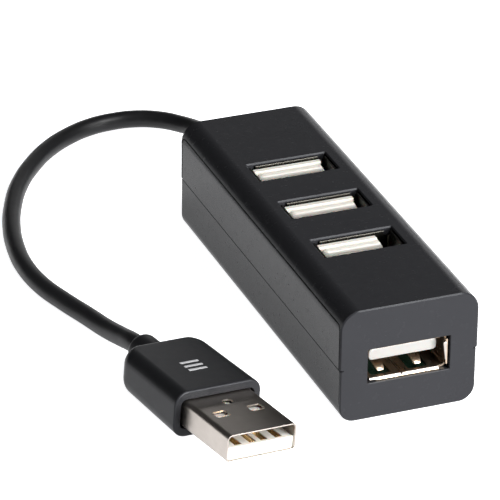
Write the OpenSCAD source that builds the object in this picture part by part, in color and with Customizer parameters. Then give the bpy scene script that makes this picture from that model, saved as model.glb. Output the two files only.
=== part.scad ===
// Four-port hub with a captive lead: two snap-together half shells, a circuit board carrying
// three upright sockets and one end socket, and a lead that ends in a type A plug.
// Millimetres, +Z up, front of the hub towards -Y, rest face on z = 0.

/* [Housing] */
// width of the housing across the sockets
body_w = 22.7; // [20:0.1:30]
// height of the housing
body_h = 19.0; // [16:0.1:26]
// length of the housing
body_l = 68.6; // [62:0.1:90]
// radius of the two long top edges
top_r = 3.2; // [1:0.1:4]
// radius of the two long bottom edges
bot_r = 2.6; // [1:0.1:4]
// wall thickness
wall = 1.4; // [1:0.1:2]
// height of the parting line
part_z = 9.2; // [8:0.1:11]
// how much the lower shell is set in on each side
lower_in = 0.15; // [0:0.05:0.3]
// how far the lower shell sits off centre, within the play of its lip
lower_shift = -0.05; // [-0.2:0.05:0.2]
// width of the decorative groove around each side field
groove_w = 0.22; // [0.1:0.02:0.5]
// depth of that groove
groove_d = 0.32; // [0.1:0.02:0.5]

/* [Sockets] */
// width of each top opening
slot_w = 13.5; // [13.3:0.1:14]
// length of each top opening along the housing
slot_d = 6.0; // [5.9:0.1:7]
// distance between neighbouring top sockets
pitch = 13.65; // [13:0.05:18]
// position of the middle top socket along the housing
mid_y = 0.15; // [-3:0.05:3]
// outer width of a socket shell
sock_w = 13.1; // [13.1:0.1:13.1]
// outer thickness of a socket shell
sock_t = 5.72; // [5.72:0.01:5.72]
// sheet thickness of the metal shells
sheet = 0.3; // [0.2:0.05:0.4]
// how far the end shell sits behind the front
rim_in = 0.45; // [0.2:0.05:1]
// how far the upright shells sit below the top
top_rim_in = 0.35; // [0.2:0.05:1.2]
// how far the upright tongues sit below the top
tongue_in = 0.7; // [0.5:0.1:3]
// how far the end tongue sits behind the front
end_tongue_in = 2.3; // [1:0.1:3]
// width of the end tongue
end_tongue_w = 11.1; // [10.5:0.1:11.3]
// thickness of a socket tongue
tongue_t = 1.84; // [1.84:0.01:1.84]

/* [Plug] */
// length of bare plug shell
plug_len = 12.8; // [11.75:0.05:14]
// width of the plug shell
plug_w = 12.0; // [12:0.1:12]
// thickness of the plug shell
plug_t = 4.5; // [4.5:0.1:4.5]
// width of the plug grip at its front face
grip_w = 15.1; // [14.5:0.05:16]
// how much narrower the grip is at its rear
grip_taper = 0.5; // [0:0.1:1.5]
// thickness of the plug grip
grip_t = 7.6; // [7:0.1:8]
// length of the plug grip
grip_l = 17.6; // [14:0.1:25]
// edge radius of the plug grip
grip_r = 2.2; // [1:0.1:3]
// radius of the strain relief
relief_r = 2.6; // [2:0.1:3.5]
// length of the strain relief
relief_l = 5.5; // [4:0.1:10]

/* [Lead] */
// diameter of the lead
lead_d = 3.0; // [2.4:0.1:4]

/* [Hidden] */
$fn = 48;
eps = 0.01;
half_l = body_l / 2;
front_y = -half_l;
board_z = 5.2;
board_t = 1.0;
board_top = board_z + board_t;
board_w = 19.2;
board_y0 = -32.4;
board_y1 = 27.0;
post_x = 8.25;
post_y = [-24, 22];
end_z = board_top + sock_t / 2;
open_w = 13.56;
open_z0 = board_top - 0.04;
open_z1 = 12.0;
field_in = 0.34;
field_z0 = 3.3;
field_z1 = 16.8;
field_r = 1.2;
pins = [-3.5, -1.0, 1.0, 3.5];
rows = [mid_y + pitch, mid_y, mid_y - pitch];
// tongue centre measured back from a top socket's own centre
tongue_y = 1.23;
base_top = board_top + 4.0;
chip_y = mid_y - pitch / 2;
xtal_y = mid_y + pitch / 2;
plug_at = [-29.93, -31.35, 4.91];
plug_turn = [-2, 5.5, 9.8];
inset = 3.0;
lead_r = lead_d / 2;
lead_z = 8.9;

// points along the lead, from the clamp inside the housing to the strain relief
route = [
  [0, 30.8, 8.9], [0, 34.3, 8.9], [0.1, 38.4, 8.8], [0.5, 43.2, 8.2], [1.3, 48.8, 6.9],
  [2.0, 55.0, 5.0], [1.6, 60.0, 3.7], [0.2, 64.6, 2.8], [-2.6, 68.4, 2.4], [-6.2, 70.7, 2.1],
  [-10.3, 71.6, 1.8], [-14.6, 71.1, 1.65], [-18.8, 69.3, 1.55], [-23.4, 66.0, 1.55],
  [-28.1, 61.0, 1.55], [-32.4, 54.9, 1.55], [-35.8, 48.1, 1.55], [-38.4, 41.0, 1.55],
  [-40.1, 33.7, 1.55], [-40.8, 26.8, 1.6], [-40.3, 20.2, 1.6], [-38.7, 13.8, 1.65],
  [-36.8, 8.0, 1.8], [-35.75, 2.3, 2.25], [-34.85, -2.9, 3.2],
  [-34.29, -6.56, 3.98], [-33.94, -8.61, 4.11]
];

// flat outline of the housing seen from the front, standing on y = 0
module outline(w, h, rt, rb) {
  translate([-w / 2, rb]) square([w, h - rt - rb]);
  translate([-w / 2 + rt, h - rt - eps]) square([w - 2 * rt, rt + eps]);
  translate([-w / 2 + rb, 0]) square([w - 2 * rb, rb + eps]);
  for (s = [-1, 1]) {
    translate([s * (w / 2 - rt), h - rt]) circle(r = rt);
    translate([s * (w / 2 - rb), rb]) circle(r = rb);
  }
}

// flat outline turned into a bar along Y
module bar(len) {
  rotate([90, 0, 0])
    linear_extrude(height = len, center = true)
      children();
}

// rectangle with round corners, centred
module round_rect(w, h, r) {
  square([w - 2 * r, h], center = true);
  square([w, h - 2 * r], center = true);
  for (x = [-1, 1], y = [-1, 1])
    translate([x * (w / 2 - r), y * (h / 2 - r)]) circle(r = r);
}

// fine groove round each side field, down to the parting line
module side_grooves() {
  fl = body_l - 2 * field_in;
  fh = field_z1 - field_z0;
  for (s = [-1, 1])
    translate([s * body_w / 2, 0, field_z0 + fh / 2])
      rotate([90, 0, 90])
        linear_extrude(height = 2 * groove_d, center = true)
          difference() {
            round_rect(fl, fh, field_r);
            round_rect(fl - 2 * groove_w, fh - 2 * groove_w, field_r - groove_w);
          }
}

// opening for the end socket
module end_opening() {
  translate([-open_w / 2, front_y - 1, open_z0])
    cube([open_w, wall + 2, open_z1 - open_z0]);
}

// hole for the lead in the rear wall
module lead_hole() {
  translate([0, half_l + 1, lead_z])
    rotate([90, 0, 0])
      cylinder(h = wall + 2, r = lead_r + 0.06);
}

module upper_shell() {
  color([0.17, 0.17, 0.18])
    difference() {
      union() {
        difference() {
          bar(body_l)
            intersection() {
              outline(body_w, body_h, top_r, bot_r);
              translate([-body_w, part_z]) square([2 * body_w, body_h]);
            }
          bar(body_l - 2 * wall)
            outline(body_w - 2 * wall, body_h - wall, top_r - wall, 0.5);
        }
        for (x = [-post_x, post_x], y = post_y)
          translate([x, y, board_top]) cylinder(h = body_h - wall - board_top + eps, r = 1.4);
      }
      for (y = rows)
        translate([0, y, body_h]) cube([slot_w, slot_d, 4 * wall], center = true);
      for (x = [-post_x, post_x], y = post_y)
        translate([x, y, board_top - eps]) cylinder(h = 1.4, r = 0.75);
      end_opening();
      lead_hole();
      side_grooves();
    }
}

module lower_shell() {
  color([0.2, 0.2, 0.21])
    difference() {
      union() {
        difference() {
          translate([lower_shift, 0, 0])
            bar(body_l)
              intersection() {
                outline(body_w - 2 * lower_in, body_h, top_r, bot_r);
                translate([-body_w, 0]) square([2 * body_w, part_z]);
              }
          translate([0, 0, wall])
            bar(body_l - 2 * wall)
              outline(board_w + 0.3, body_h, 0.5, bot_r - wall);
        }
        // locating lip that enters the upper shell
        for (s = [-1, 1])
          translate([s * 9.45 - 0.35, -30, part_z - 1]) cube([0.7, 56, 1.8]);
        // posts with pins that carry the circuit board
        for (x = [-post_x, post_x], y = post_y) {
          translate([x, y, wall - eps]) cylinder(h = board_z - wall + eps, r = 1.4);
          translate([x, y, wall]) cylinder(h = board_top + 1.2 - wall, r = 0.7);
        }
      }
      end_opening();
      lead_hole();
      // relief so that the lip clears the posts of the upper shell
      for (x = [-post_x, post_x], y = post_y)
        translate([x, y, part_z - 1.5]) cylinder(h = 3, r = 1.6);
    }
}

module circuit_board() {
  color([0.05, 0.3, 0.14])
    difference() {
      translate([-board_w / 2, board_y0, board_z])
        cube([board_w, board_y1 - board_y0, board_t]);
      for (x = [-post_x, post_x], y = post_y)
        translate([x, y, board_z - 1]) cylinder(h = 3, r = 0.8);
      for (y = rows, x = pins)
        translate([x, y + tongue_y - tongue_t / 2 - 0.1, board_z - 1]) cylinder(h = 3, r = 0.6);
      for (y = rows, s = [-1, 1])
        translate([s * (sock_w / 2 - sheet / 2), y, board_z + 0.5]) cube([0.5, 1.7, 3], center = true);
      for (x = pins)
        translate([x, -19.5, board_z - 1]) cylinder(h = 3, r = 0.6);
      for (s = [-1, 1])
        translate([s * (sock_w / 2 - sheet / 2), -25, board_z + 0.5]) cube([0.5, 1.7, 3], center = true);
    }
}

// spring finger cut from a broad wall; stands on z = 0 and leans towards +y by lean degrees
module finger(len, lean) {
  translate([-0.8, -sheet, 0]) rotate([-lean, 0, 0]) cube([1.6, 0.25, len]);
}

// folded metal shell, mouth up, foot on z = 0
module socket_shell(len, legs_z) {
  difference() {
    linear_extrude(height = len)
      difference() {
        round_rect(sock_w, sock_t, 0.7);
        round_rect(sock_w - 2 * sheet, sock_t - 2 * sheet, 0.4);
      }
    for (s = [-1, 1], x = [-3.0, 3.0])
      translate([x, s * sock_t / 2, len - 5.6]) cube([2.4, 1.2, 6.4], center = true);
    // corner reliefs of the mouth
    for (sx = [-1, 1], sy = [-1, 1])
      translate([sx * sock_w / 2, sy * sock_t / 2, len]) cube([2.4, 1.0, 1.6], center = true);
  }
  for (x = [-3.0, 3.0]) {
    translate([x, -sock_t / 2 + sheet, len - 9]) finger(6.6, 6);
    translate([x, sock_t / 2 - sheet, len - 9]) rotate([0, 0, 180]) finger(6.6, 1.5);
  }
  for (s = [-1, 1])
    translate([s * (sock_w / 2 - sheet / 2), 0, legs_z]) cube([sheet, 1.4, 4], center = true);
}

module upright_shell(y) {
  color([0.7, 0.7, 0.68])
    translate([0, y, board_top]) socket_shell(body_h - top_rim_in - board_top, 0.4);
}

// white insulator of an upright socket; cut is the size of a bevelled tip corner
module upright_tongue(y, cut) {
  color([0.96, 0.96, 0.94])
    difference() {
      union() {
        translate([-6.2, y - 2.5, board_top]) cube([12.4, 5.0, base_top - board_top]);
        translate([-5.6, y + tongue_y - tongue_t / 2, base_top - eps])
          cube([11.2, tongue_t, body_h - tongue_in - base_top + eps]);
      }
      for (x = pins)
        translate([x, y + tongue_y - tongue_t / 2 - 0.1, board_top + 2]) cube([1.0, 0.24, 10], center = true);
      if (cut > 0)
        translate([5.7, y + tongue_y - 2, body_h - tongue_in])
          rotate([-90, 0, 0])
            linear_extrude(height = 4)
              polygon([[-cut - 0.1, -1], [-cut - 0.1, 0], [0, 3.6], [1, 3.6], [1, -1]]);
    }
}

module upright_contacts(y) {
  color([0.83, 0.66, 0.32])
    for (x = pins)
      translate([x, y + tongue_y - tongue_t / 2 - 0.1, 4.4 + 6.2]) cube([0.9, 0.2, 12.4], center = true);
}

module port_end_shell() {
  color([0.7, 0.7, 0.68])
    translate([0, front_y + rim_in + 14, end_z]) rotate([90, 0, 0]) end_shell_upright();
}

// shell of the end socket, mouth up; +y is the upper wall once it lies down
module end_shell_upright() {
  len = 14;
  difference() {
    linear_extrude(height = len)
      difference() {
        round_rect(sock_w, sock_t, 0.7);
        round_rect(sock_w - 2 * sheet, sock_t - 2 * sheet, 0.4);
      }
    for (x = [-3.9, 2.15])
      translate([x, -sock_t / 2, len - 5.4]) cube([3.2, 1.2, 7.6], center = true);
    for (x = [-3.0, 3.0])
      translate([x, sock_t / 2, len - 5.6]) cube([2.4, 1.2, 6.4], center = true);
    for (sx = [-1, 1], sy = [-1, 1])
      translate([sx * sock_w / 2, sy * sock_t / 2, len]) cube([2.8, 1.8, 1.2], center = true);
    // joint line of the folded sheet
    translate([-0.95, -sock_t / 2, len - 3]) cube([0.12, 1, 7], center = true);
  }
  // formed fingers of the lower wall, rising away from the mouth
  for (x = [-3.9, 2.15]) {
    translate([x - 0.9, -sock_t / 2, len - 9.3]) cube([1.8, 0.25, 5.0]);
    translate([x - 0.9, -sock_t / 2, len - 4.5]) rotate([-42, 0, 0]) cube([1.8, 0.25, 1.4]);
    translate([x - 0.9, -sock_t / 2 + 0.82, len - 3.72]) rotate([38, 0, 0]) cube([1.8, 0.25, 1.2]);
  }
  for (x = [-3.0, 3.0])
    translate([x, sock_t / 2 - sheet, len - 9]) rotate([0, 0, 180]) finger(6.6, 6);
  // side spring seen just inside the mouth
  translate([sock_w / 2 - sheet - 0.3, -1.6, len - 3]) cube([0.35, 3.3, 2.9]);
  for (s = [-1, 1])
    translate([s * (sock_w / 2 - sheet / 2), -sock_t / 2 - 0.5, 5.25]) cube([sheet, 2.4, 1.4], center = true);
}

module port_end_tongue() {
  ty = front_y + end_tongue_in;
  by = front_y + rim_in + 14;
  color([0.96, 0.96, 0.94])
    difference() {
      union() {
        translate([-6.2, by - 4, end_z - 2.5]) cube([12.4, 4, 5.0]);
        translate([-0.15, by - 3.9, end_z + 0.66])
          rotate([90, 0, 0])
            linear_extrude(height = by - 3.9 - ty)
              round_rect(end_tongue_w, 1.95, 0.6);
      }
      for (x = pins)
        translate([x, by - 3, end_z + 0.66 - 1.95 / 2 - 0.1]) cube([1.0, 12, 0.24], center = true);
    }
}

module port_end_contacts() {
  cz = end_z + 0.66 - 1.95 / 2 - 0.2;
  color([0.83, 0.66, 0.32])
    for (x = pins) {
      translate([x - 0.45, front_y + end_tongue_in + 0.9, cz]) cube([0.9, 11.8 + eps, 0.2]);
      translate([x - 0.45, front_y + end_tongue_in + 12.5, 4.4]) cube([0.9, 0.2, cz + 0.2 - 4.4]);
    }
}

module controller_chip() {
  color([0.1, 0.1, 0.1])
    difference() {
      translate([-4.95, chip_y - 1.95, board_top + 0.15]) cube([9.9, 3.9, 1.45]);
      translate([-4.1, chip_y - 1.1, board_top + 1.5]) cylinder(h = 1, r = 0.35);
    }
}

module controller_leads() {
  color([0.75, 0.75, 0.75])
    for (i = [0:7], s = [-1, 1])
      translate([-4.445 + 1.27 * i, chip_y + s * 2.45, 0]) {
        translate([-0.2, -0.5, board_top + 0.7]) cube([0.4, 1.0, 0.2]);
        translate([-0.2, s > 0 ? 0.3 : -0.5, board_top]) cube([0.4, 0.2, 0.9]);
        translate([-0.2, s > 0 ? 0.3 : -0.9, board_top]) cube([0.4, 0.6, 0.2]);
      }
}

module crystal() {
  color([0.78, 0.78, 0.77])
    translate([-2.0, xtal_y, board_top]) {
      linear_extrude(height = 0.5) round_rect(11.4, 4.8, 2.2);
      linear_extrude(height = 3.5) round_rect(10.4, 3.8, 1.8);
    }
}

module bulk_capacitor() {
  color([0.7, 0.7, 0.72])
    translate([-4.2, 21.6, board_top]) {
      translate([-2.6, -2.6, 0]) cube([5.2, 5.2, 0.6]);
      cylinder(h = 5.4, r = 2.5);
    }
}

module ceramic_capacitors() {
  color([0.72, 0.6, 0.45])
    for (p = [[6.8, chip_y - 2.2], [6.8, chip_y + 0.6], [6.6, xtal_y - 2.2], [6.6, xtal_y + 0.8], [2.2, 19.2]])
      translate([p[0], p[1], board_top]) cube([2.0, 1.25, 0.9]);
}

module resistors() {
  color([0.08, 0.08, 0.09])
    for (p = [[-8.2, chip_y - 2.2], [-8.2, chip_y + 0.6], [5.0, 19.2], [5.0, 21.6], [2.2, 21.6]])
      translate([p[0], p[1], board_top]) cube([1.6, 0.85, 0.5]);
}

module lead_clamp() {
  color([0.09, 0.09, 0.1])
    difference() {
      translate([-3.5, 31.0, 5.6]) cube([7, 1.8 - eps, 6.6]);
      translate([0, 40, lead_z]) rotate([90, 0, 0]) cylinder(h = 20, r = lead_r + 0.04);
    }
}

// insulated wire from the end of the lead to its pad on the circuit board
module wire(dx, dz, pad_x) {
  pad_h = board_top + 0.42;
  start = [dx, 30.8, lead_z + dz];
  tube([
    start, start - [0, 1.2, 0.05], start + [(pad_x - dx) * 0.3, -2.4, -0.5],
    [pad_x - (pad_x - dx) * 0.3, 27.2, pad_h + 0.5], [pad_x, 26.0, pad_h + 0.05], [pad_x, 24.6, pad_h]
  ], 0.4);
}

module wire_power() {
  color([0.75, 0.08, 0.06]) wire(-0.5, -0.5, -0.6);
}

module wire_data_minus() {
  color([0.93, 0.93, 0.92]) wire(-0.5, 0.5, -1.8);
}

module wire_data_plus() {
  color([0.1, 0.5, 0.2]) wire(0.5, 0.5, 1.8);
}

module wire_ground() {
  color([0.05, 0.05, 0.05]) wire(0.5, -0.5, 0.6);
}

// unit direction of a path at point i
function along(path, i) =
  let (d = path[min(i + 1, len(path) - 1)] - path[max(i - 1, 0)])
  d / norm(d);

// corner k of the ring around point i
function ring(path, r, i, k) =
  let (
    t = along(path, i),
    s = cross(t, [0, 0, 1]) / norm(cross(t, [0, 0, 1])),
    u = cross(s, t)
  )
  path[i] + r * (s * cos(45 * k) + u * sin(45 * k));

// eight-sided tube swept along a path
module tube(path, r) {
  n = len(path);
  pts = [for (i = [0:n - 1], k = [0:7]) ring(path, r, i, k)];
  sides = [
    for (i = [0:n - 2], k = [0:7])
      [8 * i + k, 8 * i + (k + 1) % 8, 8 * i + 8 + (k + 1) % 8, 8 * i + 8 + k]
  ];
  first = [[for (k = [0:7]) 7 - k]];
  last = [[for (k = [0:7]) 8 * (n - 1) + k]];
  polyhedron(points = pts, faces = concat(sides, first, last), convexity = 6);
}

module lead() {
  color([0.1, 0.1, 0.11]) tube(route, lead_r);
}

// plug frame: tip towards -y, face with the mark up
module in_plug() {
  translate(plug_at) rotate(plug_turn) children();
}

module plug_strain_relief() {
  color([0.09, 0.09, 0.1])
    in_plug()
      translate([0, grip_l, 0])
        rotate([-90, 0, 0])
          rotate_extrude() {
            square([relief_r, relief_l - 0.7]);
            square([relief_r - 0.7, relief_l]);
            translate([relief_r - 0.7, relief_l - 0.7]) circle(r = 0.7);
          }
}

// plan of the grip: tapered sides and two round rear corners
module grip_plan() {
  front = grip_w / 2;
  rear = front - grip_taper / 2;
  corner = 2.6;
  polygon([
    [-front, 0], [front, 0], [rear, grip_l - corner], [rear - corner, grip_l],
    [corner - rear, grip_l], [-rear, grip_l - corner]
  ]);
  for (s = [-1, 1])
    translate([s * (rear - corner), grip_l - corner]) circle(r = corner);
}

module plug_grip() {
  color([0.15, 0.15, 0.16])
    in_plug()
      difference() {
        intersection() {
          translate([0, grip_l / 2, 0])
            bar(grip_l) round_rect(grip_w, grip_t, grip_r);
          linear_extrude(height = 20, center = true)
            grip_plan();
        }
        translate([-plug_w / 2 - 0.03, -1, -plug_t / 2 - 0.03])
          cube([plug_w + 0.06, inset + 1, plug_t + 0.06]);
      }
}

module plug_mark() {
  color([0.62, 0.62, 0.64])
    in_plug()
      for (i = [-1, 0, 1])
        translate([-1.6, 7.4 + 1.3 * i, grip_t / 2]) cube([3.2, 0.5, 0.04]);
}

module plug_shell() {
  color([0.72, 0.7, 0.67])
    in_plug()
      difference() {
        translate([0, inset, 0])
          rotate([90, 0, 0])
            linear_extrude(height = plug_len + inset)
              difference() {
                round_rect(plug_w, plug_t, 0.6);
                round_rect(plug_w - 2 * sheet, plug_t - 2 * sheet, 0.3);
              }
        for (x = [-3.0, 3.0], z = [-plug_t / 2, plug_t / 2])
          translate([x, -6.0, z]) cube([2.45, 2.0, 1], center = true);
        translate([0.1, -2.5, plug_t / 2 - 0.5])
          linear_extrude(height = 1)
            round_rect(1.8, 1.5, 0.74);
      }
}

module plug_insulator() {
  color([0.97, 0.96, 0.95])
    in_plug()
      difference() {
        union() {
          translate([-5.65, -plug_len + 0.35, -1.93]) cube([11.3, plug_len + inset - 0.4, 1.93]);
          translate([-5.65, -3.9, -0.1]) cube([11.3, 3.9 + inset - 0.05, 2.0]);
        }
        for (x = pins)
          translate([x - 0.6, -plug_len + 0.9, -0.35]) cube([1.2, plug_len + inset, 0.35]);
      }
}

module plug_contacts() {
  color([0.83, 0.66, 0.32])
    in_plug()
      for (x = pins)
        translate([x - 0.5, -plug_len + 1.2, -0.35]) cube([1.0, plug_len + inset - 1.3, 0.25]);
}

upper_shell();
lower_shell();
circuit_board();
upright_shell(rows[0]);  // port_rear_shell
upright_tongue(rows[0], 0);  // port_rear_tongue
upright_contacts(rows[0]);  // port_rear_contacts
upright_shell(rows[1]);  // port_middle_shell
upright_tongue(rows[1], 0);  // port_middle_tongue
upright_contacts(rows[1]);  // port_middle_contacts
upright_shell(rows[2]);  // port_front_shell
upright_tongue(rows[2], 1.7);  // port_front_tongue
upright_contacts(rows[2]);  // port_front_contacts
port_end_shell();
port_end_tongue();
port_end_contacts();
controller_chip();
controller_leads();
crystal();
bulk_capacitor();
ceramic_capacitors();
resistors();
lead_clamp();
wire_power();
wire_data_minus();
wire_data_plus();
wire_ground();
lead();
plug_strain_relief();
plug_grip();
plug_mark();
plug_shell();
plug_insulator();
plug_contacts();
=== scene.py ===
import math

import bmesh
import bpy
from mathutils import Euler, Matrix, Quaternion, Vector


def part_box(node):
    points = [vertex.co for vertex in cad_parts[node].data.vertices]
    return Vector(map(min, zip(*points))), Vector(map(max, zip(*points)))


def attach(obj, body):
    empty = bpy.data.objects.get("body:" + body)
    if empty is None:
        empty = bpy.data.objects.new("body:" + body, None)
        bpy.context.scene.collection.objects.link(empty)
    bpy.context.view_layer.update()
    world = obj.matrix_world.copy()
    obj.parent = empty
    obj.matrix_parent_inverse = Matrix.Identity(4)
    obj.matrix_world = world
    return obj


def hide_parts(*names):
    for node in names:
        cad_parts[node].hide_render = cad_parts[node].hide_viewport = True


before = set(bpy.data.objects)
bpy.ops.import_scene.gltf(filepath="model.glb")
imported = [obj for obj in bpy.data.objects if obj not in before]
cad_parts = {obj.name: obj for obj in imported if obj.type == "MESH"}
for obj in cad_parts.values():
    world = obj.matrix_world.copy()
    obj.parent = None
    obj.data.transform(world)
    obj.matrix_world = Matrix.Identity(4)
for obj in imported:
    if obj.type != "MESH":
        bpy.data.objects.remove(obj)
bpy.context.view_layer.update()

# ---------------------------------------------------------------------------
# Sizes. Shapes are worked out in millimetres and scaled when a mesh is made.
# ---------------------------------------------------------------------------
MM = 0.001


def cad_mm(node):
    """Lowest and highest corner of a CAD node, in millimetres."""
    low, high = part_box(node)
    return low / MM, high / MM


TOP_LOW, TOP_HIGH = cad_mm("upper_shell")
BASE_LOW, BASE_HIGH = cad_mm("lower_shell")
HALF_W = TOP_HIGH.x
HALF_L = TOP_HIGH.y
HEIGHT = TOP_HIGH.z
PART_Z = 9.2
BASE_HALF_W = (BASE_HIGH.x - BASE_LOW.x) / 2
BASE_X = (BASE_HIGH.x + BASE_LOW.x) / 2
BASE_CAVITY_HALF_W = 9.75
FRONT_Y = -HALF_L
WALL = 1.4
TOP_R = 3.2
BASE_R = 2.6
END_BREAK = 0.2
PART_BEVEL = 0.04
PART_GAP = 0.22
PART_GAP_DEPTH = 0.35

BOARD_TOP = cad_mm("circuit_board")[1].z
POST_X = 8.25
POST_YS = (-24, 22)

SLOT_W = 13.5
SLOT_D = 6.0
SLOT_RIM = 0.2
UPRIGHT_PORTS = ("rear", "middle", "front")
PORT_ROWS = {p: sum(corner.y for corner in cad_mm(f"port_{p}_shell")) / 2 for p in UPRIGHT_PORTS}
CAN_W = 13.1
CAN_T = 5.72
SHEET = 0.3
CAN_TOP = cad_mm("port_front_shell")[1].z
TONGUE_TOP = cad_mm("port_front_tongue")[1].z
TONGUE_Y = 1.23
TONGUE_W = 11.2
TONGUE_T = 1.84
PINS = (-3.5, -1.0, 1.0, 3.5)

OPEN_W = 13.56
OPEN_LOW = BOARD_TOP - 0.04
OPEN_HIGH = 12.0
END_Z = BOARD_TOP + CAN_T / 2
END_MOUTH = cad_mm("port_end_shell")[0].y
END_LEN = 14.0
END_TONGUE_W = 11.2
END_TONGUE_T = 1.95
END_TONGUE_CORNER = 0.6
END_TONGUE_Y = cad_mm("port_end_tongue")[0].y

FIELD_IN = 0.34
FIELD_LOW = 3.3
FIELD_HIGH = 16.8
FIELD_R = 1.2
GROOVE_W = 0.22
GROOVE_D = 0.32

LEAD_D = 3.0
LEAD_Z = 8.9
# the lead's knots: those of the CAD tube, apart from the one at y = 8, which lies 0.2 further left
ROUTE = [
    (0, 30.8, 8.9), (0, 34.3, 8.9), (0.1, 38.4, 8.8), (0.5, 43.2, 8.2), (1.3, 48.8, 6.9),
    (2.0, 55.0, 5.0), (1.6, 60.0, 3.7), (0.2, 64.6, 2.8), (-2.6, 68.4, 2.4), (-6.2, 70.7, 2.1),
    (-10.3, 71.6, 1.8), (-14.6, 71.1, 1.65), (-18.8, 69.3, 1.55), (-23.4, 66.0, 1.55),
    (-28.1, 61.0, 1.55), (-32.4, 54.9, 1.55), (-35.8, 48.1, 1.55), (-38.4, 41.0, 1.55),
    (-40.1, 33.7, 1.55), (-40.8, 26.8, 1.6), (-40.3, 20.2, 1.6), (-38.7, 13.8, 1.65),
    (-37.0, 8.0, 1.8), (-35.75, 2.3, 2.25), (-34.85, -2.9, 3.2), (-34.29, -6.56, 3.98),
    (-33.94, -8.61, 4.11),
]

PLUG_AT = (-29.93, -31.35, 4.91)
PLUG_TURN = (-2, 5.5, 9.8)
PLUG_LEN = 12.8
PLUG_W = 12.0
PLUG_T = 4.5
GRIP_W = 15.1
GRIP_TAPER = 0.5
GRIP_T = 7.6
GRIP_L = 17.6
GRIP_R = 2.2
GRIP_LOW_R_GAIN = 1.1
GRIP_CORNER = 2.6
RELIEF_R = 2.6
RELIEF_L = 5.5


# ---------------------------------------------------------------------------
# Mesh helpers
# ---------------------------------------------------------------------------
def on_z(x, y):
    """Places a section (u, v) at level d on a column that stands at x, y."""
    return lambda u, v, d: (x + u, y + v, d)


def on_y(x, z):
    """Places a section (u, v) at level d on a bar that runs along Y through x, z."""
    return lambda u, v, d: (x + u, d, z + v)


def as_is(x, y, z):
    """Leaves a point where it is."""
    return (x, y, z)


def round_rect(width, height, radius, steps=6, low_radius=None):
    """Rectangle about the origin as (u, v) pairs, anticlockwise. Its low corners may differ in radius."""
    top, low = (max(min(r, 0.49 * width, 0.49 * height), 0.004) for r in (radius, low_radius or radius))
    corners = ((1, -1, -90, low), (1, 1, 0, top), (-1, 1, 90, top), (-1, -1, 180, low))
    return [
        (sx * (width / 2 - r) + r * math.cos(a), sy * (height / 2 - r) + r * math.sin(a))
        for sx, sy, start, r in corners
        for a in (math.radians(start + 90 * k / steps) for k in range(steps + 1))
    ]


def circle(radius, steps=40):
    """Circle about the origin as (u, v) pairs."""
    angles = [2 * math.pi * k / steps for k in range(steps)]
    return [(radius * math.cos(a), radius * math.sin(a)) for a in angles]


def quarter(radius, steps=5):
    """(inset, distance back) pairs of an edge rounded over, from the end face to the side."""
    angles = [math.radians(90 * k / steps) for k in range(steps + 1)]
    return [(radius * (1 - math.sin(a)), radius * (1 - math.cos(a))) for a in angles]


def solid(name, points, faces):
    """New object from points in millimetres, its faces turned outwards."""
    mesh = bpy.data.meshes.new(name)
    mesh.from_pydata([[c * MM for c in p] for p in points], [], faces)
    shape = bmesh.new()
    shape.from_mesh(mesh)
    bmesh.ops.recalc_face_normals(shape, faces=shape.faces)
    shape.to_mesh(mesh)
    shape.free()
    obj = bpy.data.objects.new(name, mesh)
    bpy.context.scene.collection.objects.link(obj)
    return obj


def loft(name, rings, place, cyclic=False):
    """Closed skin through rings, each (section, level). A cyclic one joins the last ring to the first."""
    count = len(rings[0][0])
    points = [place(u, v, level) for section, level in rings for u, v in section]
    faces = []
    for i in range(len(rings) if cyclic else len(rings) - 1):
        a, b = i * count, (i + 1) % len(rings) * count
        faces += [(a + k, a + (k + 1) % count, b + (k + 1) % count, b + k) for k in range(count)]
    if not cyclic:
        faces += [tuple(range(count)), tuple(range(len(points) - count, len(points)))]
    return solid(name, points, faces)


def block(name, low, high):
    """Box between two corners, for use in a larger shape."""
    points = [(x, y, z) for x in (low[0], high[0]) for y in (low[1], high[1]) for z in (low[2], high[2])]
    faces = [(0, 1, 3, 2), (4, 6, 7, 5), (0, 4, 5, 1), (2, 3, 7, 6), (0, 2, 6, 4), (1, 5, 7, 3)]
    return solid(name, points, faces)


def post(name, x, y, low, high, radius):
    """Upright round bar."""
    return loft(name, [(circle(radius, 24), low), (circle(radius, 24), high)], on_z(x, y))


def settle(obj):
    """Applies the object's modifiers to its mesh."""
    graph = bpy.context.evaluated_depsgraph_get()
    mesh = bpy.data.meshes.new_from_object(obj.evaluated_get(graph))
    obj.modifiers.clear()
    obj.data = mesh


def combine(obj, tools, operation):
    """Boolean of obj with each tool, which is used up."""
    for tool in tools:
        step = obj.modifiers.new(operation, "BOOLEAN")
        step.operation = operation
        step.solver = "EXACT"
        step.object = tool
    settle(obj)
    for tool in tools:
        bpy.data.objects.remove(tool)


def cut(obj, *tools):
    """Takes the tools away from obj."""
    combine(obj, tools, "DIFFERENCE")


def weld(obj, *tools):
    """Joins the tools to obj as one solid."""
    combine(obj, tools, "UNION")


def gather(obj, *others):
    """Puts other objects' meshes into obj as loose solids."""
    shape = bmesh.new()
    for part in (obj, *others):
        shape.from_mesh(part.data)
    shape.to_mesh(obj.data)
    shape.free()
    for part in others:
        bpy.data.objects.remove(part)


def soften(obj, width, segments=2, angle=35):
    """Rounds the sharp edges of a shape over by width millimetres."""
    step = obj.modifiers.new("soften", "BEVEL")
    step.width = width * MM
    step.segments = segments
    step.limit_method = "ANGLE"
    step.angle_limit = math.radians(angle)
    step.use_clamp_overlap = True
    settle(obj)


def smooth(obj, angle=40):
    """Smooth shading that stays flat on flat faces and sharp on real edges."""
    obj.data.polygons.foreach_set("use_smooth", [True] * len(obj.data.polygons))
    obj.data.set_sharp_from_angle(angle=math.radians(angle))
    step = obj.modifiers.new("normals", "WEIGHTED_NORMAL")
    step.keep_sharp = True
    step.weight = 100


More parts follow.
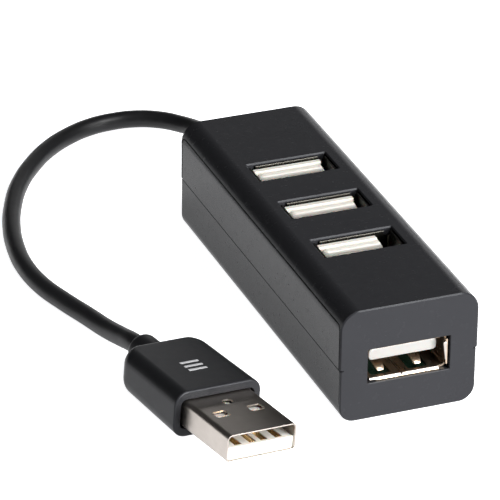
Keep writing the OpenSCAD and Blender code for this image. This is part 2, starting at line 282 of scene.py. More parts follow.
def finish_piece(obj, material, slot, *nodes, angle=40):
    """Material, shading and the CAD nodes that a made piece stands for."""
    obj.data.materials.clear()
    obj.data.materials.append(material)
    if obj.type == "MESH":
        smooth(obj, angle)
    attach(obj, "root")
    if nodes:
        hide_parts(*nodes)
    return obj


def flared(name, width, height, corner, rim, place, depth=2.6):
    """Cutter for an opening with a broken rim. Level 0 is the surface, and outwards is positive."""
    levels = [(0.0, -depth)] + [(inset, -back) for inset, back in rim_profile(rim)] + [(1.12 * rim, 1.0)]
    rings = [(round_rect(width + 2 * o, height + 2 * o, corner + o), level) for o, level in levels]
    return loft(name, rings, place)


def rim_profile(rim):
    """(widening, depth below the surface) pairs up a broken rim: a flat at 45 degrees, its edges eased."""
    return [(rim * out, rim * down) for out, down in ((0, 1.12), (0.03, 1.0), (1.0, 0.03), (1.12, 0))]


# ---------------------------------------------------------------------------
# Materials
# ---------------------------------------------------------------------------
class Finish:
    """A Principled material with helpers for procedural detail in object space."""

    def __init__(self, name, colour, roughness, metallic=0.0, **sockets):
        self.material = bpy.data.materials.new(name)
        self.material.use_nodes = True
        self.tree = self.material.node_tree
        self.shader = self.tree.nodes["Principled BSDF"]
        self.colour = colour
        self.shader.inputs["Base Color"].default_value = (*colour, 1)
        self.shader.inputs["Roughness"].default_value = roughness
        self.shader.inputs["Metallic"].default_value = metallic
        for key, value in sockets.items():
            self.shader.inputs[key.replace("_", " ")].default_value = value
        self.place = self.tree.nodes.new("ShaderNodeTexCoord").outputs["Object"]
        self.height = None

    def node(self, kind, **values):
        made = self.tree.nodes.new(kind)
        for key, value in values.items():
            setattr(made, key, value)
        return made

    def noise(self, size, stretch=(1, 1, 1), detail=3.0, turn=(0, 0, 0)):
        """Noise whose features are about size millimetres across, times stretch along each axis."""
        mapping = self.node("ShaderNodeMapping")
        mapping.inputs["Rotation"].default_value = turn
        mapping.inputs["Scale"].default_value = [1 / (size * MM * s) for s in stretch]
        self.tree.links.new(self.place, mapping.inputs["Vector"])
        noise = self.node("ShaderNodeTexNoise")
        noise.inputs["Scale"].default_value = 1.0
        noise.inputs["Detail"].default_value = detail
        self.tree.links.new(mapping.outputs["Vector"], noise.inputs["Vector"])
        return noise.outputs["Fac"]

    def ramp(self, factor, low, high, spread=(0.3, 0.7)):
        """Colour ramp from low to high over part of the factor's range."""
        ramp = self.node("ShaderNodeValToRGB")
        ramp.color_ramp.elements[0].position, ramp.color_ramp.elements[1].position = spread
        ramp.color_ramp.elements[0].color = (*low, 1)
        ramp.color_ramp.elements[1].color = (*high, 1)
        self.tree.links.new(factor, ramp.inputs["Fac"])
        return ramp.outputs["Color"]

    def tint(self, factor, change):
        """Varies the base colour by a share of itself."""
        low = [c * (1 - change) for c in self.colour]
        high = [min(1, c * (1 + change)) for c in self.colour]
        self.tree.links.new(self.ramp(factor, low, high), self.shader.inputs["Base Color"])
        return self

    def gloss(self, factor, low, high):
        """Varies the roughness between two values."""
        shift = self.node("ShaderNodeMapRange")
        shift.inputs["From Min"].default_value = 0.3
        shift.inputs["From Max"].default_value = 0.7
        shift.inputs["To Min"].default_value = low
        shift.inputs["To Max"].default_value = high
        self.tree.links.new(factor, shift.inputs["Value"])
        self.tree.links.new(shift.outputs["Result"], self.shader.inputs["Roughness"])
        return self

    def bump(self, factor, height, strength=1.0):
        """Adds relief of height millimetres."""
        bump = self.node("ShaderNodeBump")
        bump.inputs["Strength"].default_value = strength
        bump.inputs["Distance"].default_value = height * MM
        self.tree.links.new(factor, bump.inputs["Height"])
        if self.height is not None:
            self.tree.links.new(self.height, bump.inputs["Normal"])
        self.height = bump.outputs["Normal"]
        self.tree.links.new(self.height, self.shader.inputs["Normal"])
        return self


def moulded(name, colour, low, high, grain, relief, **sockets):
    """Moulded plastic: fine spark-eroded grain, slow changes of gloss and tone."""
    made = Finish(name, colour, (low + high) / 2, **sockets)
    made.tint(made.noise(9.0, detail=2.0), 0.03)
    made.gloss(made.noise(1.2, detail=4.0), low, high)
    made.bump(made.noise(grain, detail=2.0), relief, 0.4)
    return made.material


def plated(name, colour, low, high, streak, turn=(0, 0, 0)):
    """Rolled and plated sheet: fine streaks along the strip and cloudy gloss."""
    made = Finish(name, colour, (low + high) / 2, metallic=1.0)
    made.tint(made.noise(1.8, detail=3.0), 0.04)
    made.gloss(made.noise(0.3, stretch=streak, detail=3.0, turn=turn), low, high)
    made.bump(made.noise(0.2, stretch=streak, detail=2.0, turn=turn), 0.002, 0.2)
    return made.material


PLUG_SPIN = tuple(math.radians(a) for a in PLUG_TURN)
HOUSING = moulded(
    "housing_plastic", (0.0136, 0.0138, 0.0154), 0.24, 0.28, 0.16, 0.008,
    IOR=1.12, Specular_IOR_Level=1.0, Specular_Tint=(0.94, 0.96, 1, 1),
)
GRIP = moulded(
    "grip_plastic", (0.0098, 0.01, 0.011), 0.31, 0.36, 0.12, 0.007,
    IOR=1.14, Specular_IOR_Level=1.0, Specular_Tint=(0.92, 0.94, 1, 1),
)
BLACK = moulded("clamp_plastic", (0.02, 0.02, 0.021), 0.4, 0.5, 0.2, 0.01)
JACKET = moulded(
    "cable_jacket", (0.0085, 0.0086, 0.0094), 0.38, 0.44, 0.22, 0.01,
    IOR=1.34, Specular_IOR_Level=0.4,
)
CHIP = moulded("chip_epoxy", (0.02, 0.02, 0.02), 0.5, 0.62, 0.08, 0.01)
WHITE = moulded(
    "white_plastic", (0.54, 0.522, 0.475), 0.3, 0.38, 0.3, 0.004,
    Subsurface_Weight=0.15, Subsurface_Scale=0.0012,
)
# painted shade: the lying socket's tongue is the same white plastic as the upright tongues, given a darker
# grey colour to hold back the strong front light that falls on it
SHADED_END_WHITE = moulded(
    "end_white_plastic_painted_shade", (0.2, 0.196, 0.187), 0.3, 0.38, 0.3, 0.004,
    Subsurface_Weight=0.15, Subsurface_Scale=0.0012,
)
CERAMIC = moulded("capacitor_ceramic", (0.5, 0.37, 0.24), 0.35, 0.5, 0.1, 0.01)
INK = moulded("pad_print", (0.33, 0.33, 0.34), 0.5, 0.6, 0.08, 0.006)
# painted shade: the upright sockets' plating is given a near-black colour for the dark inside of the slots;
# the same plating on the lying socket keeps a lighter colour
SHADED_CAN = plated("upright_socket_plating_painted_shade", (0.04, 0.038, 0.033), 0.26, 0.34, (1, 1, 9))
END_CAN = plated("end_socket_plating", (0.42, 0.33, 0.25), 0.26, 0.34, (1, 9, 1))
PLUG_METAL = plated("plug_plating", (0.33, 0.3, 0.274), 0.3, 0.36, (1, 9, 1), PLUG_SPIN)
GOLD = plated("gold_plating", (0.78, 0.52, 0.2), 0.2, 0.3, (1, 6, 6))
TIN = plated("tinned_leads", (0.7, 0.7, 0.7), 0.22, 0.34, (1, 1, 4))
ALUMINIUM = plated("drawn_can", (0.74, 0.74, 0.75), 0.22, 0.36, (1, 1, 7))
WIRES = {
    "wire_power": moulded("wire_red", (0.5, 0.02, 0.015), 0.3, 0.4, 0.2, 0.005),
    "wire_data_minus": moulded("wire_white", (0.8, 0.8, 0.78), 0.3, 0.4, 0.2, 0.005),
    "wire_data_plus": moulded("wire_green", (0.02, 0.25, 0.06), 0.3, 0.4, 0.2, 0.005),
    "wire_ground": moulded("wire_black", (0.02, 0.02, 0.02), 0.3, 0.4, 0.2, 0.005),
}


def solder_resist():
    """Green resist over copper tracks, which show as slightly raised, lighter lines."""
    ground = (0.0022, 0.007, 0.0045)
    track = (0.005, 0.016, 0.009)
    made = Finish("solder_resist", ground, 0.3, Coat_Weight=0.4, Coat_Roughness=0.15)
    bricks = made.node("ShaderNodeTexBrick")
    bricks.inputs["Scale"].default_value = 420
    bricks.inputs["Mortar Size"].default_value = 0.09
    bricks.inputs["Color1"].default_value = (0, 0, 0, 1)
    bricks.inputs["Color2"].default_value = (0.1, 0.1, 0.1, 1)
    bricks.inputs["Mortar"].default_value = (1, 1, 1, 1)
    made.tree.links.new(made.place, bricks.inputs["Vector"])
    lines = bricks.outputs["Color"]
    colour = made.ramp(lines, ground, track, (0.1, 0.9))
    made.tree.links.new(colour, made.shader.inputs["Base Color"])
    made.bump(lines, 0.02, 0.6)
    made.gloss(made.noise(1.5), 0.24, 0.36)
    return made.material


RESIST = solder_resist()


# ---------------------------------------------------------------------------
# Camera, and the lead with its plug
# ---------------------------------------------------------------------------
def make_camera():
    """Long lens from the front left, a little above: the product view."""
    data = bpy.data.cameras.new("camera")
    data.sensor_width = 36
    data.lens = 311.8
    data.clip_start = 0.05
    data.clip_end = 20
    obj = bpy.data.objects.new("camera", data)
    bpy.context.scene.collection.objects.link(obj)
    obj.location = Vector((-233.5, -557.2, 331.29)) * MM
    aim = Vector((-3.6, 22.7, 0.09)) * MM
    level = (aim - obj.location).to_track_quat("-Z", "Y")
    obj.rotation_mode = "QUATERNION"
    obj.rotation_quaternion = level @ Quaternion((0, 0, 1), math.radians(0.8))
    bpy.context.scene.camera = obj


def to_plug(obj):
    """Moves a mesh made in the plug's own frame (tip towards -Y, mark up) to where the plug lies."""
    spin = Euler(PLUG_SPIN, "XYZ").to_matrix().to_4x4()
    obj.data.transform(Matrix.Translation(Vector(PLUG_AT) * MM) @ spin)
    return obj


def make_lead():
    """The lead's jacket, one smooth curve from inside the clamp to the plug's collar."""
    data = bpy.data.curves.new("lead_jacket", "CURVE")
    data.dimensions = "3D"
    data.bevel_depth = LEAD_D / 2 * MM
    data.bevel_resolution = 10
    data.resolution_u = 10
    data.use_fill_caps = True
    spline = data.splines.new("BEZIER")
    spline.bezier_points.add(len(ROUTE) - 1)
    for i, (knot, place) in enumerate(zip(spline.bezier_points, ROUTE)):
        knot.co = Vector(place) * MM
        # the jacket is drawn a little thinner towards the hub
        knot.radius = 0.97 + 0.08 * i / (len(ROUTE) - 1)
        knot.handle_left_type = knot.handle_right_type = "AUTO"
    obj = bpy.data.objects.new("lead_jacket", data)
    bpy.context.scene.collection.objects.link(obj)
    return finish_piece(obj, JACKET, "cable_jacket", "lead")


def make_strain_relief():
    """Short round collar with a softly rounded end and a shallow waist where it meets the grip."""
    tip = [(RELIEF_R - inset, RELIEF_L - back) for inset, back in reversed(quarter(0.8, 6))]
    profile = [(RELIEF_R - 0.15, -0.4), (RELIEF_R - 0.12, 0.5), (RELIEF_R - 0.02, 1.4), (RELIEF_R, 2.6)] + tip
    rings = [(circle(r, 40), GRIP_L + along) for r, along in profile]
    obj = loft("strain_relief", rings, on_y(0, 0))
    return finish_piece(to_plug(obj), JACKET, "cable_jacket", "plug_strain_relief")


def make_grip():
    """Moulded grip: rounded long edges and rear corners, and a pocket for the shell in its front face."""
    crown = 0.9
    front_round = 0.3
    stations = [(inset, inset, back) for inset, back in quarter(front_round, 4)]
    stations += [(0, 0, front_round + (GRIP_L - GRIP_CORNER - front_round) * k / 8) for k in range(1, 8)]
    for k in range(17):
        a = math.radians(90 * k / 16)
        along = GRIP_L - GRIP_CORNER * (1 - math.sin(a))
        drop = max(0.0, along - (GRIP_L - crown)) / crown
        fall = crown * (1 - math.sqrt(max(0.0, 1 - drop * drop)))
        stations.append((GRIP_CORNER * (1 - math.cos(a)), fall, along))
    skin = []
    for in_w, in_t, along in stations:
        width = GRIP_W - GRIP_TAPER * along / GRIP_L - 2 * in_w
        low_radius = GRIP_R + GRIP_LOW_R_GAIN * along / GRIP_L
        skin.append((round_rect(width, GRIP_T - 2 * in_t, GRIP_R - 0.6 * in_t, 9, low_radius), along))
    obj = loft("grip", skin, on_y(0, 0))
    cut(
        obj,
        flared("pocket", PLUG_W + 0.1, PLUG_T + 0.1, 0.8, 0.05, lambda u, v, d: (u, -d, v), 2.9),
        flared("recess", PLUG_W + 0.8, PLUG_T + 0.25, 0.9, 0.1, lambda u, v, d: (u, -d, v), 0.9),
    )
    return finish_piece(to_plug(obj), GRIP, "plug_plastic", "plug_grip")


def tube_rings(width, height, corner, sheet, back, mouth, flare):
    """Rings of a folded sheet tube whose mouth, at level mouth, is rolled open by flare."""
    towards = 1 if mouth > back else -1
    lip = 0.05
    outer = [(0.0, back)] + [(-inset, mouth - towards * b) for inset, b in reversed(quarter(lip, 3))]
    inner = [(-sheet + flare - flare * math.sin(a), mouth - towards * flare * 1.3 * (1 - math.cos(a)))
             for a in (math.radians(90 * k / 5) for k in range(6))]
    path = outer + inner + [(-sheet, back)]
    return [(round_rect(width + 2 * o, height + 2 * o, max(corner + o, 0.06)), level) for o, level in path]


def make_plug_shell():
    """Folded shell with two latch windows above and below, a round window, and its joint underneath."""
    rings = tube_rings(PLUG_W, PLUG_T, 0.8, SHEET, 2.8, -PLUG_LEN, 0.2)
    obj = loft("plug_shell_metal", rings, on_y(0, 0), True)
    tools = []
    for x in (-3.0, 3.0):
        for z in (-PLUG_T / 2, PLUG_T / 2):
            window = round_rect(2.45, 2.0, 0.45, 4)
            tools.append(loft("window", [(window, z - 0.5), (window, z + 0.5)], on_z(x, -5.85)))
    hole = round_rect(1.8, 1.5, 0.73, 8)
    tools.append(loft("hole", [(hole, PLUG_T / 2 - 0.5), (hole, PLUG_T / 2 + 0.5)], on_z(0.1, -2.5)))
    tools.append(block("seam", (-0.05, -PLUG_LEN - 1, -PLUG_T / 2 - 1), (0.05, 3.5, -PLUG_T / 2 + 0.7)))
    cut(obj, *tools)
    return finish_piece(to_plug(obj), PLUG_METAL, "plug_metal", "plug_shell", angle=30)


def make_plug_insulator():
    """White block with a channel for each contact, higher towards the grip."""
    obj = block("plug_insulator_block", (-5.65, -PLUG_LEN + 0.35, -1.93), (5.65, 2.6, 0))
    weld(obj, block("raised", (-5.65, -5.35, -0.2), (5.65, 2.6, 1.6)))
    inside = round_rect(11.32, 3.88, 0.5, 5)
    combine(obj, [loft("inside", [(inside, -PLUG_LEN), (inside, 3.0)], on_y(0, 0))], "INTERSECT")
    cut(obj, *[block("channel", (x - 0.6, -PLUG_LEN + 0.9, -0.35), (x + 0.6, -3.6, 0.7)) for x in PINS])
    soften(obj, 0.09, 2)
    return finish_piece(to_plug(obj), WHITE, "white_plastic", "plug_insulator")


# ---------------------------------------------------------------------------
# Housing
# ---------------------------------------------------------------------------
def half_outline(half_w, edge_z, face_z, corner):
    """Section of one half shell, from the parting line round the broad face at face_z.

    The lower half steps back under the line, which makes the gap that shows between the halves.
    """
    side = 1 if face_z > edge_z else -1
    steps = 10
    right = [
        (half_w - corner + corner * math.cos(a), face_z + side * (corner * math.sin(a) - corner))
        for a in (math.radians(90 * k / steps) for k in range(steps + 1))
    ]
    if side > 0:
        half = [(half_w - PART_BEVEL, edge_z), (half_w, edge_z + PART_BEVEL)] + right
    else:
        gap = [(half_w - PART_GAP_DEPTH, edge_z), (half_w - PART_GAP_DEPTH, edge_z - PART_GAP)]
        edge = [(half_w - PART_BEVEL, edge_z - PART_GAP), (half_w, edge_z - PART_GAP - PART_BEVEL)]
        half = gap + edge + right
    return half + [(-u, v) for u, v in reversed(half)]


def shift_x(obj, distance):
    """Moves a mesh sideways."""
    obj.data.transform(Matrix.Translation((distance * MM, 0, 0)))
    return obj


def half_bar(name, half_w, face_z, corner, half_length, end_break, edge_z=PART_Z):
    """Bar with a half shell's section and finely broken end edges."""
    side = 1 if face_z > edge_z else -1
    near = [(end_break * inset, -half_length + end_break * back)
            for inset, back in ((1.12, 0), (1.0, 0.03), (0.03, 1.0), (0, 1.12))]
    stations = near + [(inset, -y) for inset, y in reversed(near)]
    rings = [
        (half_outline(half_w - inset, edge_z, face_z - side * inset, corner - inset), y)
        for inset, y in stations
    ]
    return loft(name, rings, on_y(0, 0))


def groove(surface_x, side):
    """Fine channel around a side field, its lips slightly rounded. Used as a cutter."""
    length = 2 * (HALF_L - FIELD_IN)
    height = FIELD_HIGH - FIELD_LOW
    lip = 0.08
    section = [
        (0.0, -GROOVE_D), (0.0, -lip), (lip, 0.01), (lip, 0.3),
        (-GROOVE_W - lip, 0.3), (-GROOVE_W - lip, 0.01), (-GROOVE_W, -lip), (-GROOVE_W, -GROOVE_D),
    ]
    rings = [(round_rect(length + 2 * o, height + 2 * o, FIELD_R + o, 10), out) for o, out in section]
    middle = (FIELD_LOW + FIELD_HIGH) / 2
    return loft("groove", rings, lambda u, v, d: (side * (surface_x + d), u, middle + v), True)


def front_opening():
    """Cutter for the end socket's opening."""
    middle = (OPEN_LOW + OPEN_HIGH) / 2
    return flared(
        "opening", OPEN_W, OPEN_HIGH - OPEN_LOW, 0.12, 0.09, lambda u, v, d: (u, FRONT_Y - d, middle + v)
    )


def lead_hole():
    """Cutter for the hole that the lead leaves by."""
    section = circle(LEAD_D / 2 + 0.06)
    return loft("lead_hole", [(section, HALF_L - 3), (section, HALF_L + 1)], on_y(0, LEAD_Z))


def make_housing_top():
    """Upper shell: a hollow half bar with four bored posts, three slots and two side grooves."""
    obj = half_bar("housing_top", HALF_W, HEIGHT, TOP_R, HALF_L, END_BREAK)
    cut(obj, half_bar("cavity", HALF_W - WALL, HEIGHT - WALL, TOP_R - WALL, HALF_L - WALL, 0.3, PART_Z - 2))
    posts = [(x, y) for x in (-POST_X, POST_X) for y in POST_YS]
    weld(obj, *[post("post", x, y, BOARD_TOP, HEIGHT - WALL + 0.2, 1.4) for x, y in posts])
    cut(obj, *[post("bore", x, y, BOARD_TOP - 1, BOARD_TOP + 1.4, 0.75) for x, y in posts])
    for y in PORT_ROWS.values():
        cut(obj, flared("slot", SLOT_W, SLOT_D, 0.1, SLOT_RIM, lambda u, v, d, y=y: (u, y + v, HEIGHT + d)))
    cut(obj, front_opening(), lead_hole(), groove(HALF_W, 1), groove(HALF_W, -1))
    return finish_piece(obj, HOUSING, "housing", "upper_shell", angle=30)


def make_housing_base():
    """Lower shell: a hollow half bar with a lip inside the parting line and four pinned posts."""
    obj = shift_x(half_bar("housing_base", BASE_HALF_W, 0.0, BASE_R, HALF_L, END_BREAK), BASE_X)
    cut(obj, half_bar("cavity", BASE_CAVITY_HALF_W, WALL, BASE_R - WALL, HALF_L - WALL, 0.3, PART_Z + 2))
    lip_x = 9.45
    lips = [
        block("lip", (s * lip_x - 0.35, -30, PART_Z - 1), (s * lip_x + 0.35, 26, PART_Z + 0.8))
        for s in (-1, 1)
    ]
    posts = [(x, y) for x in (-POST_X, POST_X) for y in POST_YS]
    weld(obj, *lips)
    cut(obj, *[post("relief", x, y, PART_Z - 1.5, PART_Z + 1.5, 1.6) for x, y in posts])
    weld(obj, *[post("post", x, y, WALL - 0.1, BOARD_TOP - 1, 1.4) for x, y in posts])
    weld(obj, *[post("pin", x, y, WALL, BOARD_TOP + 1.2, 0.7) for x, y in posts])
    # a short upright line near the front of each side, in line with the groove above
    lines = [
        block("line", (s * BASE_HALF_W + BASE_X - 0.3, -HALF_L + FIELD_IN, BASE_R + 0.7),
              (s * BASE_HALF_W + BASE_X + 0.3, -HALF_L + FIELD_IN + 0.16, PART_Z + 1))
        for s in (-1, 1)
    ]
    cut(obj, front_opening(), lead_hole(), *lines)
    return finish_piece(obj, HOUSING, "housing", "lower_shell", angle=30)


# ---------------------------------------------------------------------------
# Sockets
# ---------------------------------------------------------------------------
def ribbon(name, path, widths, thickness, x, place):
    """Formed strip of sheet that follows (out, up) pairs, its width given at each."""
    count = len(path)
    points = []
    for i, (a, b) in enumerate(path):
        before, after = path[max(i - 1, 0)], path[min(i + 1, count - 1)]
        run = Vector((after[0] - before[0], after[1] - before[1])).normalized()
        side = Vector((-run.y, run.x)) * thickness / 2
        half = widths[i] / 2
        points += [
            place(x - half, a - side.x, b - side.y), place(x + half, a - side.x, b - side.y),
            place(x + half, a + side.x, b + side.y), place(x - half, a + side.x, b + side.y),
        ]
    faces = [(0, 1, 2, 3), tuple(4 * count - 4 + k for k in range(4))]
    for i in range(count - 1):
        faces += [(4 * i + k, 4 * i + (k + 1) % 4, 4 * i + 4 + (k + 1) % 4, 4 * i + 4 + k) for k in range(4)]
    return solid(name, points, faces)


def upright_finger(x, y, wall, lean):
    """Spring cut from a broad wall of an upright socket; wall is -1 for the front wall and 1 for the rear."""
    foot = CAN_TOP - 9.0
    inner = wall * (CAN_T / 2 - SHEET / 2)
    path = []
    widths = []
    for k in range(13):
        t = k / 12
        bow = lean * math.sin(math.pi * min(1.0, t * 1.12) / 2) ** 2
        path.append((y + inner - wall * bow, foot + 6.6 * t))
        widths.append(1.7 - 0.3 * t - 0.5 * max(0.0, t - 0.9) / 0.1)
    return ribbon("finger", path, widths, 0.22, x, as_is)


def make_upright_socket(port):
    """Folded shell of an upright socket, with its windows, springs and legs, and its insulator."""
    y = PORT_ROWS[port]
    rings = tube_rings(CAN_W, CAN_T, 0.7, SHEET, BOARD_TOP, CAN_TOP, 0.06)
    can = loft(f"socket_{port}_can", rings, on_z(0, y), True)
    tools = []
    for s in (-1, 1):
        for x in (-3.0, 3.0):
            wy = y + s * CAN_T / 2
            low, high = (x - 1.2, wy - 0.6, CAN_TOP - 8.8), (x + 1.2, wy + 0.6, CAN_TOP - 2.4)
            tools.append(block("window", low, high))
        for sy in (-1, 1):
            cx, cy = s * CAN_W / 2, y + sy * CAN_T / 2
            low, high = (cx - 1.2, cy - 0.5, CAN_TOP - 0.8), (cx + 1.2, cy + 0.5, CAN_TOP + 0.8)
            tools.append(block("relief", low, high))
    cut(can, *tools)
    legs = [
        block("leg", (s * (CAN_W / 2 - SHEET / 2) - SHEET / 2, y - 0.7, BOARD_TOP - 1.6),
              (s * (CAN_W / 2 - SHEET / 2) + SHEET / 2, y + 0.7, BOARD_TOP + 2.4))
        for s in (-1, 1)
    ]
    fingers = [
        upright_finger(x, y, wall, lean)
        for x in (-3.0, 3.0)
        for wall, lean in ((-1, 0.62), (1, 0.12))
    ]
    gather(can, *legs, *fingers)
    # the can, its legs and springs take the plating painted near black as shade
    finish_piece(can, SHADED_CAN, "socket_metal", f"port_{port}_shell", angle=30)
    make_upright_tongue(port, y + TONGUE_Y, y)


def make_upright_tongue(port, tongue_y, y):
    """White insulator: foot block and tongue, the tongue's tip rounded and its right corner bevelled."""
    foot = block(f"socket_{port}_tongue", (-6.2, y - 2.5, BOARD_TOP), (6.2, y + 2.5, BOARD_TOP + 4))
    soften(foot, 0.15, 2)
    left, right = -TONGUE_W / 2 - 0.4, TONGUE_W / 2 - 0.1
    middle = (left + right) / 2
    plate_t = 0.95
    rings = [(round_rect(right - left, plate_t, 0.2), BOARD_TOP + 3.5)]
    rings += [
        (round_rect(right - left - 2 * inset, plate_t - 2 * inset, 0.2 - inset), TONGUE_TOP - back)
        for inset, back in reversed(quarter(0.1, 4))
    ]
    plate = loft("plate", rings, on_z(middle, tongue_y + 0.6))
    # rounded nose along the near side, over the tips of the contacts
    nose_left, nose_right, nose_height = left + 0.45, right + 0.2, 2.1
    ends = [(inset, nose_left + 1.9 * back) for inset, back in quarter(0.5, 7)]
    ends += [(0.0, nose_right - 0.1), (0.1, nose_right)]
    nose = loft(
        "nose",
        [(round_rect(1.6 - 2 * inset, nose_height - 2 * inset, 0.75 - inset, 8), x) for inset, x in ends],
        lambda u, v, d: (d, tongue_y - 0.33 + u, TONGUE_TOP - 0.3 - nose_height / 2 + v),
    )
    # the front port's tongue is bevelled through its whole thickness, the others' nose only a little
    across, down = (1.8, 4.2) if port == "front" else (0.5, 1.3)
    slope = [(right - across, 0.01), (right + 1, 1), (right + 1, -down), (right + 0.15, -down)]
    section = [(u, TONGUE_TOP + v) for u, v in slope]
    for part in (plate, nose) if port == "front" else (nose,):
        cut(part, loft("wedge", [(section, level) for level in (tongue_y - 2, tongue_y + 2)], on_y(0, 0)))
    weld(plate, nose)
    slits = [
        block("slit", (x - 0.5, tongue_y - TONGUE_T / 2 - 0.3, BOARD_TOP - 1),
              (x + 0.5, tongue_y - TONGUE_T / 2 + 0.02, BOARD_TOP + 7))
        for x in PINS
    ]
    weld(foot, plate)
    cut(foot, *slits)
    finish_piece(foot, WHITE, "white_plastic", f"port_{port}_tongue", angle=30)


def make_end_socket():
    """Folded shell of the lying socket, with its windows, springs, side strip and legs, and its insulator."""
    back = END_MOUTH + END_LEN
    rings = tube_rings(CAN_W, CAN_T, 0.7, SHEET, back, END_MOUTH, 0.2)
    can = loft("socket_end_can", rings, on_y(0, END_Z), True)
    low, high = END_Z - CAN_T / 2, END_Z + CAN_T / 2
    finger_xs = (-3.85, 2.25)
    tools = [
        block("window", (x - 1.6, END_MOUTH + 1.3, low - 0.6), (x + 1.6, END_MOUTH + 9.2, low + 0.6))
        for x in finger_xs
    ]
    tools += [
        block("window", (x - 1.2, END_MOUTH + 2.4, high - 0.6), (x + 1.2, END_MOUTH + 8.8, high + 0.6))
        for x in (-3.0, 3.0)
    ]
    for sx in (-1, 1):
        for z in (low, high):
            cx = sx * CAN_W / 2
            corner_low = (cx - 1.4, END_MOUTH - 0.6, z - 0.7)
            corner_high = (cx + 1.4, END_MOUTH + 0.7, z + 0.7)
            tools.append(block("relief", corner_low, corner_high))
    # the left wall stands back from the mouth
    tools.append(block(
        "left_rim",
        (-CAN_W / 2 - 0.1, END_MOUTH - 0.1, low - 0.1),
        (-CAN_W / 2 + SHEET + 0.02, END_MOUTH + 1.3, high + 0.1),
    ))
    tools.append(block("seam", (-1.0, END_MOUTH - 0.5, low - 0.5), (-0.88, END_MOUTH + 6.5, low + 0.5)))
    cut(can, *tools)
    inner = low + SHEET
    extras = []
    for x in finger_xs:
        # from the tip near the mouth, up over the contact point, and down to its root in the wall
        profile = (
            (1.55, 0.42), (1.7, 0.6), (2.2, 0.86), (2.9, 1.14), (3.6, 1.24),
            (4.4, 1.12), (5.8, 0.7), (7.4, 0.2), (9.3, -0.13),
        )
        path = [(END_MOUTH + along, inner + up) for along, up in profile]
        widths = [0.95, 1.25, 1.5, 1.65, 1.7, 1.7, 1.7, 1.7, 1.7]
        finger = ribbon("finger", path, widths, 0.24, x, as_is)
        soften(finger, 0.07, 2)
        extras.append(finger)
    for x in (-3.0, 3.0):
        path = []
        for k in range(13):
            t = k / 12
            bow = 0.6 * math.sin(math.pi * min(1, 1.12 * t) / 2) ** 2
            path.append((END_MOUTH + 9.0 - 6.6 * t, high - SHEET / 2 - bow))
        widths = [1.6 - 0.3 * k / 12 for k in range(13)]
        extras.append(ribbon("finger", path, widths, 0.22, x, as_is))
    # bright strip of the right wall, wider at its top
    strip = [(5.82, 1.6), (6.5, 1.75), (6.5, -1.5), (6.2, -1.45)]
    lip = loft("side_lip", [(strip, END_MOUTH + 0.02), (strip, END_MOUTH + 0.3)], on_y(0, END_Z))
    soften(lip, 0.1, 3)
    lip.name = "socket_end_lip_side"
    finish_piece(lip, PLUG_METAL, "socket_metal")
    extras += [
        block("leg", (s * (CAN_W / 2 - SHEET / 2) - SHEET / 2, back - 5.95, low - 1.7),
              (s * (CAN_W / 2 - SHEET / 2) + SHEET / 2, back - 4.55, low + 0.7))
        for s in (-1, 1)
    ]
    gather(can, *extras)
    finish_piece(can, END_CAN, "socket_metal", "port_end_shell", angle=30)
    make_end_lips(low)
    make_end_tongue(back)


def make_end_lips(low):
    """Rolled edges of the lower wall at the mouth, one on each side of the sheet's joint."""
    roll = 0.27
    section = [(roll * math.cos(a), roll * math.sin(a)) for a in (2 * math.pi * k / 16 for k in range(16))]
    for name, x0, x1 in (("left", -6.3, -1.0), ("right", -0.88, 5.15)):
        rings = [([(u * k, v * k) for u, v in section], x)
                 for k, x in ((0.6, x0), (1.0, x0 + 0.1), (1.0, x1 - 0.1), (0.6, x1))]
        lip = loft(f"socket_end_lip_{name}", rings, lambda u, v, d: (d, END_MOUTH + roll + u, low + roll + v))
        finish_piece(lip, PLUG_METAL, "socket_metal")


def make_end_tongue(back):
    """White insulator of the lying socket: foot block, and the tongue above its contacts."""
    tongue_z = END_Z + 0.66
    tongue_x = -0.1
    foot = block("socket_end_tongue", (-6.2, back - 4, END_Z - 2.5), (6.2, back, END_Z + 2.5))
    soften(foot, 0.15, 2)
    rings = [
        (round_rect(END_TONGUE_W - 2 * inset, END_TONGUE_T - 2 * inset, END_TONGUE_CORNER - inset),
         END_TONGUE_Y + in_from_tip)
        for inset, in_from_tip in quarter(0.2, 4)
    ]
    rings.append((round_rect(END_TONGUE_W, END_TONGUE_T, END_TONGUE_CORNER), back - 3.6))
    weld(foot, loft("plate", rings, on_y(tongue_x, tongue_z)))
    slits = [
        block("slit", (x - 0.5, END_TONGUE_Y + 0.7, tongue_z - END_TONGUE_T / 2 - 0.3),
              (x + 0.5, back - 3.2, tongue_z - END_TONGUE_T / 2 + 0.02))
        for x in PINS
    ]
    cut(foot, *slits)
    # the tongue takes the white plastic painted darker grey, a painted shade against the front light
    finish_piece(foot, SHADED_END_WHITE, "white_plastic", "port_end_tongue", angle=30)


# ---------------------------------------------------------------------------
# CAD nodes that stay: their edges are softened and they get their own finish
# ---------------------------------------------------------------------------
KEPT = {
    "circuit_board": (RESIST, 0.06),
    "controller_chip": (CHIP, 0.12),
    "controller_leads": (TIN, 0.05),
    "crystal": (ALUMINIUM, 0.25),
    "bulk_capacitor": (ALUMINIUM, 0.2),
    "ceramic_capacitors": (CERAMIC, 0.1),
    "resistors": (CHIP, 0.06),
    "lead_clamp": (BLACK, 0.25),
    "plug_mark": (INK, 0.01),
    "plug_contacts": (GOLD, 0.05),
    **{f"port_{p}_contacts": (GOLD, 0.05) for p in (*UPRIGHT_PORTS, "end")},
    **{name: (finish, 0.0) for name, finish in WIRES.items()},
}


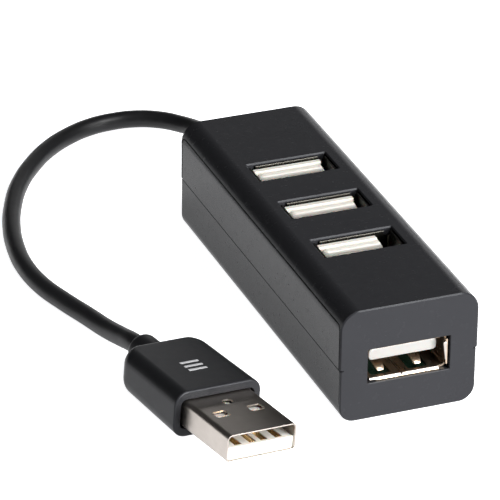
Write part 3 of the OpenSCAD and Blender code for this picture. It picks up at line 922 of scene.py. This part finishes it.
def dress_cad_nodes():
    """Finish and softened edges for the CAD nodes that stay in view or inside."""
    for name, (material, width) in KEPT.items():
        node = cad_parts[name]
        node.data.materials.clear()
        node.data.materials.append(material)
        merge = node.modifiers.new("merge", "WELD")
        merge.merge_threshold = 0.002 * MM
        if width:
            flat = node.modifiers.new("flat", "DECIMATE")
            flat.decimate_type = "DISSOLVE"
            flat.angle_limit = math.radians(1)
            edge = node.modifiers.new("edge", "BEVEL")
            edge.width = width * MM
            edge.segments = 2
            edge.limit_method = "ANGLE"
            edge.angle_limit = math.radians(40)


# ---------------------------------------------------------------------------
# Floor and light
# ---------------------------------------------------------------------------
def make_floor():
    """Plain white paper that the hub lies on."""
    size = 3.0
    corners = [(-size, -size, 0), (size, -size, 0), (size, size, 0), (-size, size, 0)]
    mesh = bpy.data.meshes.new("floor")
    mesh.from_pydata(corners, [], [(0, 1, 2, 3)])
    floor = bpy.data.objects.new("floor", mesh)
    bpy.context.scene.collection.objects.link(floor)
    paper = Finish("paper", (0.75, 0.75, 0.76), 0.9, Specular_IOR_Level=0.1)
    paper.shader.inputs["Emission Color"].default_value = (0.985, 0.99, 1, 1)
    paper.shader.inputs["Emission Strength"].default_value = 0.99
    floor.data.materials.append(paper.material)


def softbox(name, place, aim, width, height, power):
    """Area light at place, in metres, turned to aim."""
    data = bpy.data.lights.new(name, "AREA")
    data.shape = "RECTANGLE"
    data.size = width
    data.size_y = height
    data.energy = power
    light = bpy.data.objects.new(name, data)
    light.location = place
    light.rotation_mode = "QUATERNION"
    light.rotation_quaternion = (Vector(aim) - Vector(place)).to_track_quat("-Z", "Y")
    bpy.context.scene.collection.objects.link(light)


def make_light():
    """Four softboxes and a faint even surround."""
    world = bpy.data.worlds.new("studio")
    world.use_nodes = True
    world.node_tree.nodes["Background"].inputs["Color"].default_value = (1, 1, 1, 1)
    world.node_tree.nodes["Background"].inputs["Strength"].default_value = 0.05
    bpy.context.scene.world = world
    softbox("key", (0.29, -0.42, 0.74), (0, 0, 0), 0.3, 0.3, 8.0)
    softbox("fill", (0.6, -0.76, 0.54), (0, 0, 0), 0.5, 0.5, 3.5)
    softbox("front", (0.47, -1.0, 0.22), (0, 0, 0.01), 0.6, 0.3, 42.0)
    softbox("back", (0.62, 1.05, 0.27), (0, 0, 0), 1.0, 0.28, 1.4)
    bpy.context.scene.view_settings.view_transform = "Standard"


make_camera()
lead = make_lead()
relief = make_strain_relief()
grip = make_grip()
plug_shell = make_plug_shell()
plug_insulator = make_plug_insulator()
make_housing_top()
make_housing_base()
for port_name in PORT_ROWS:
    make_upright_socket(port_name)
make_end_socket()
dress_cad_nodes()
make_floor()
make_light()
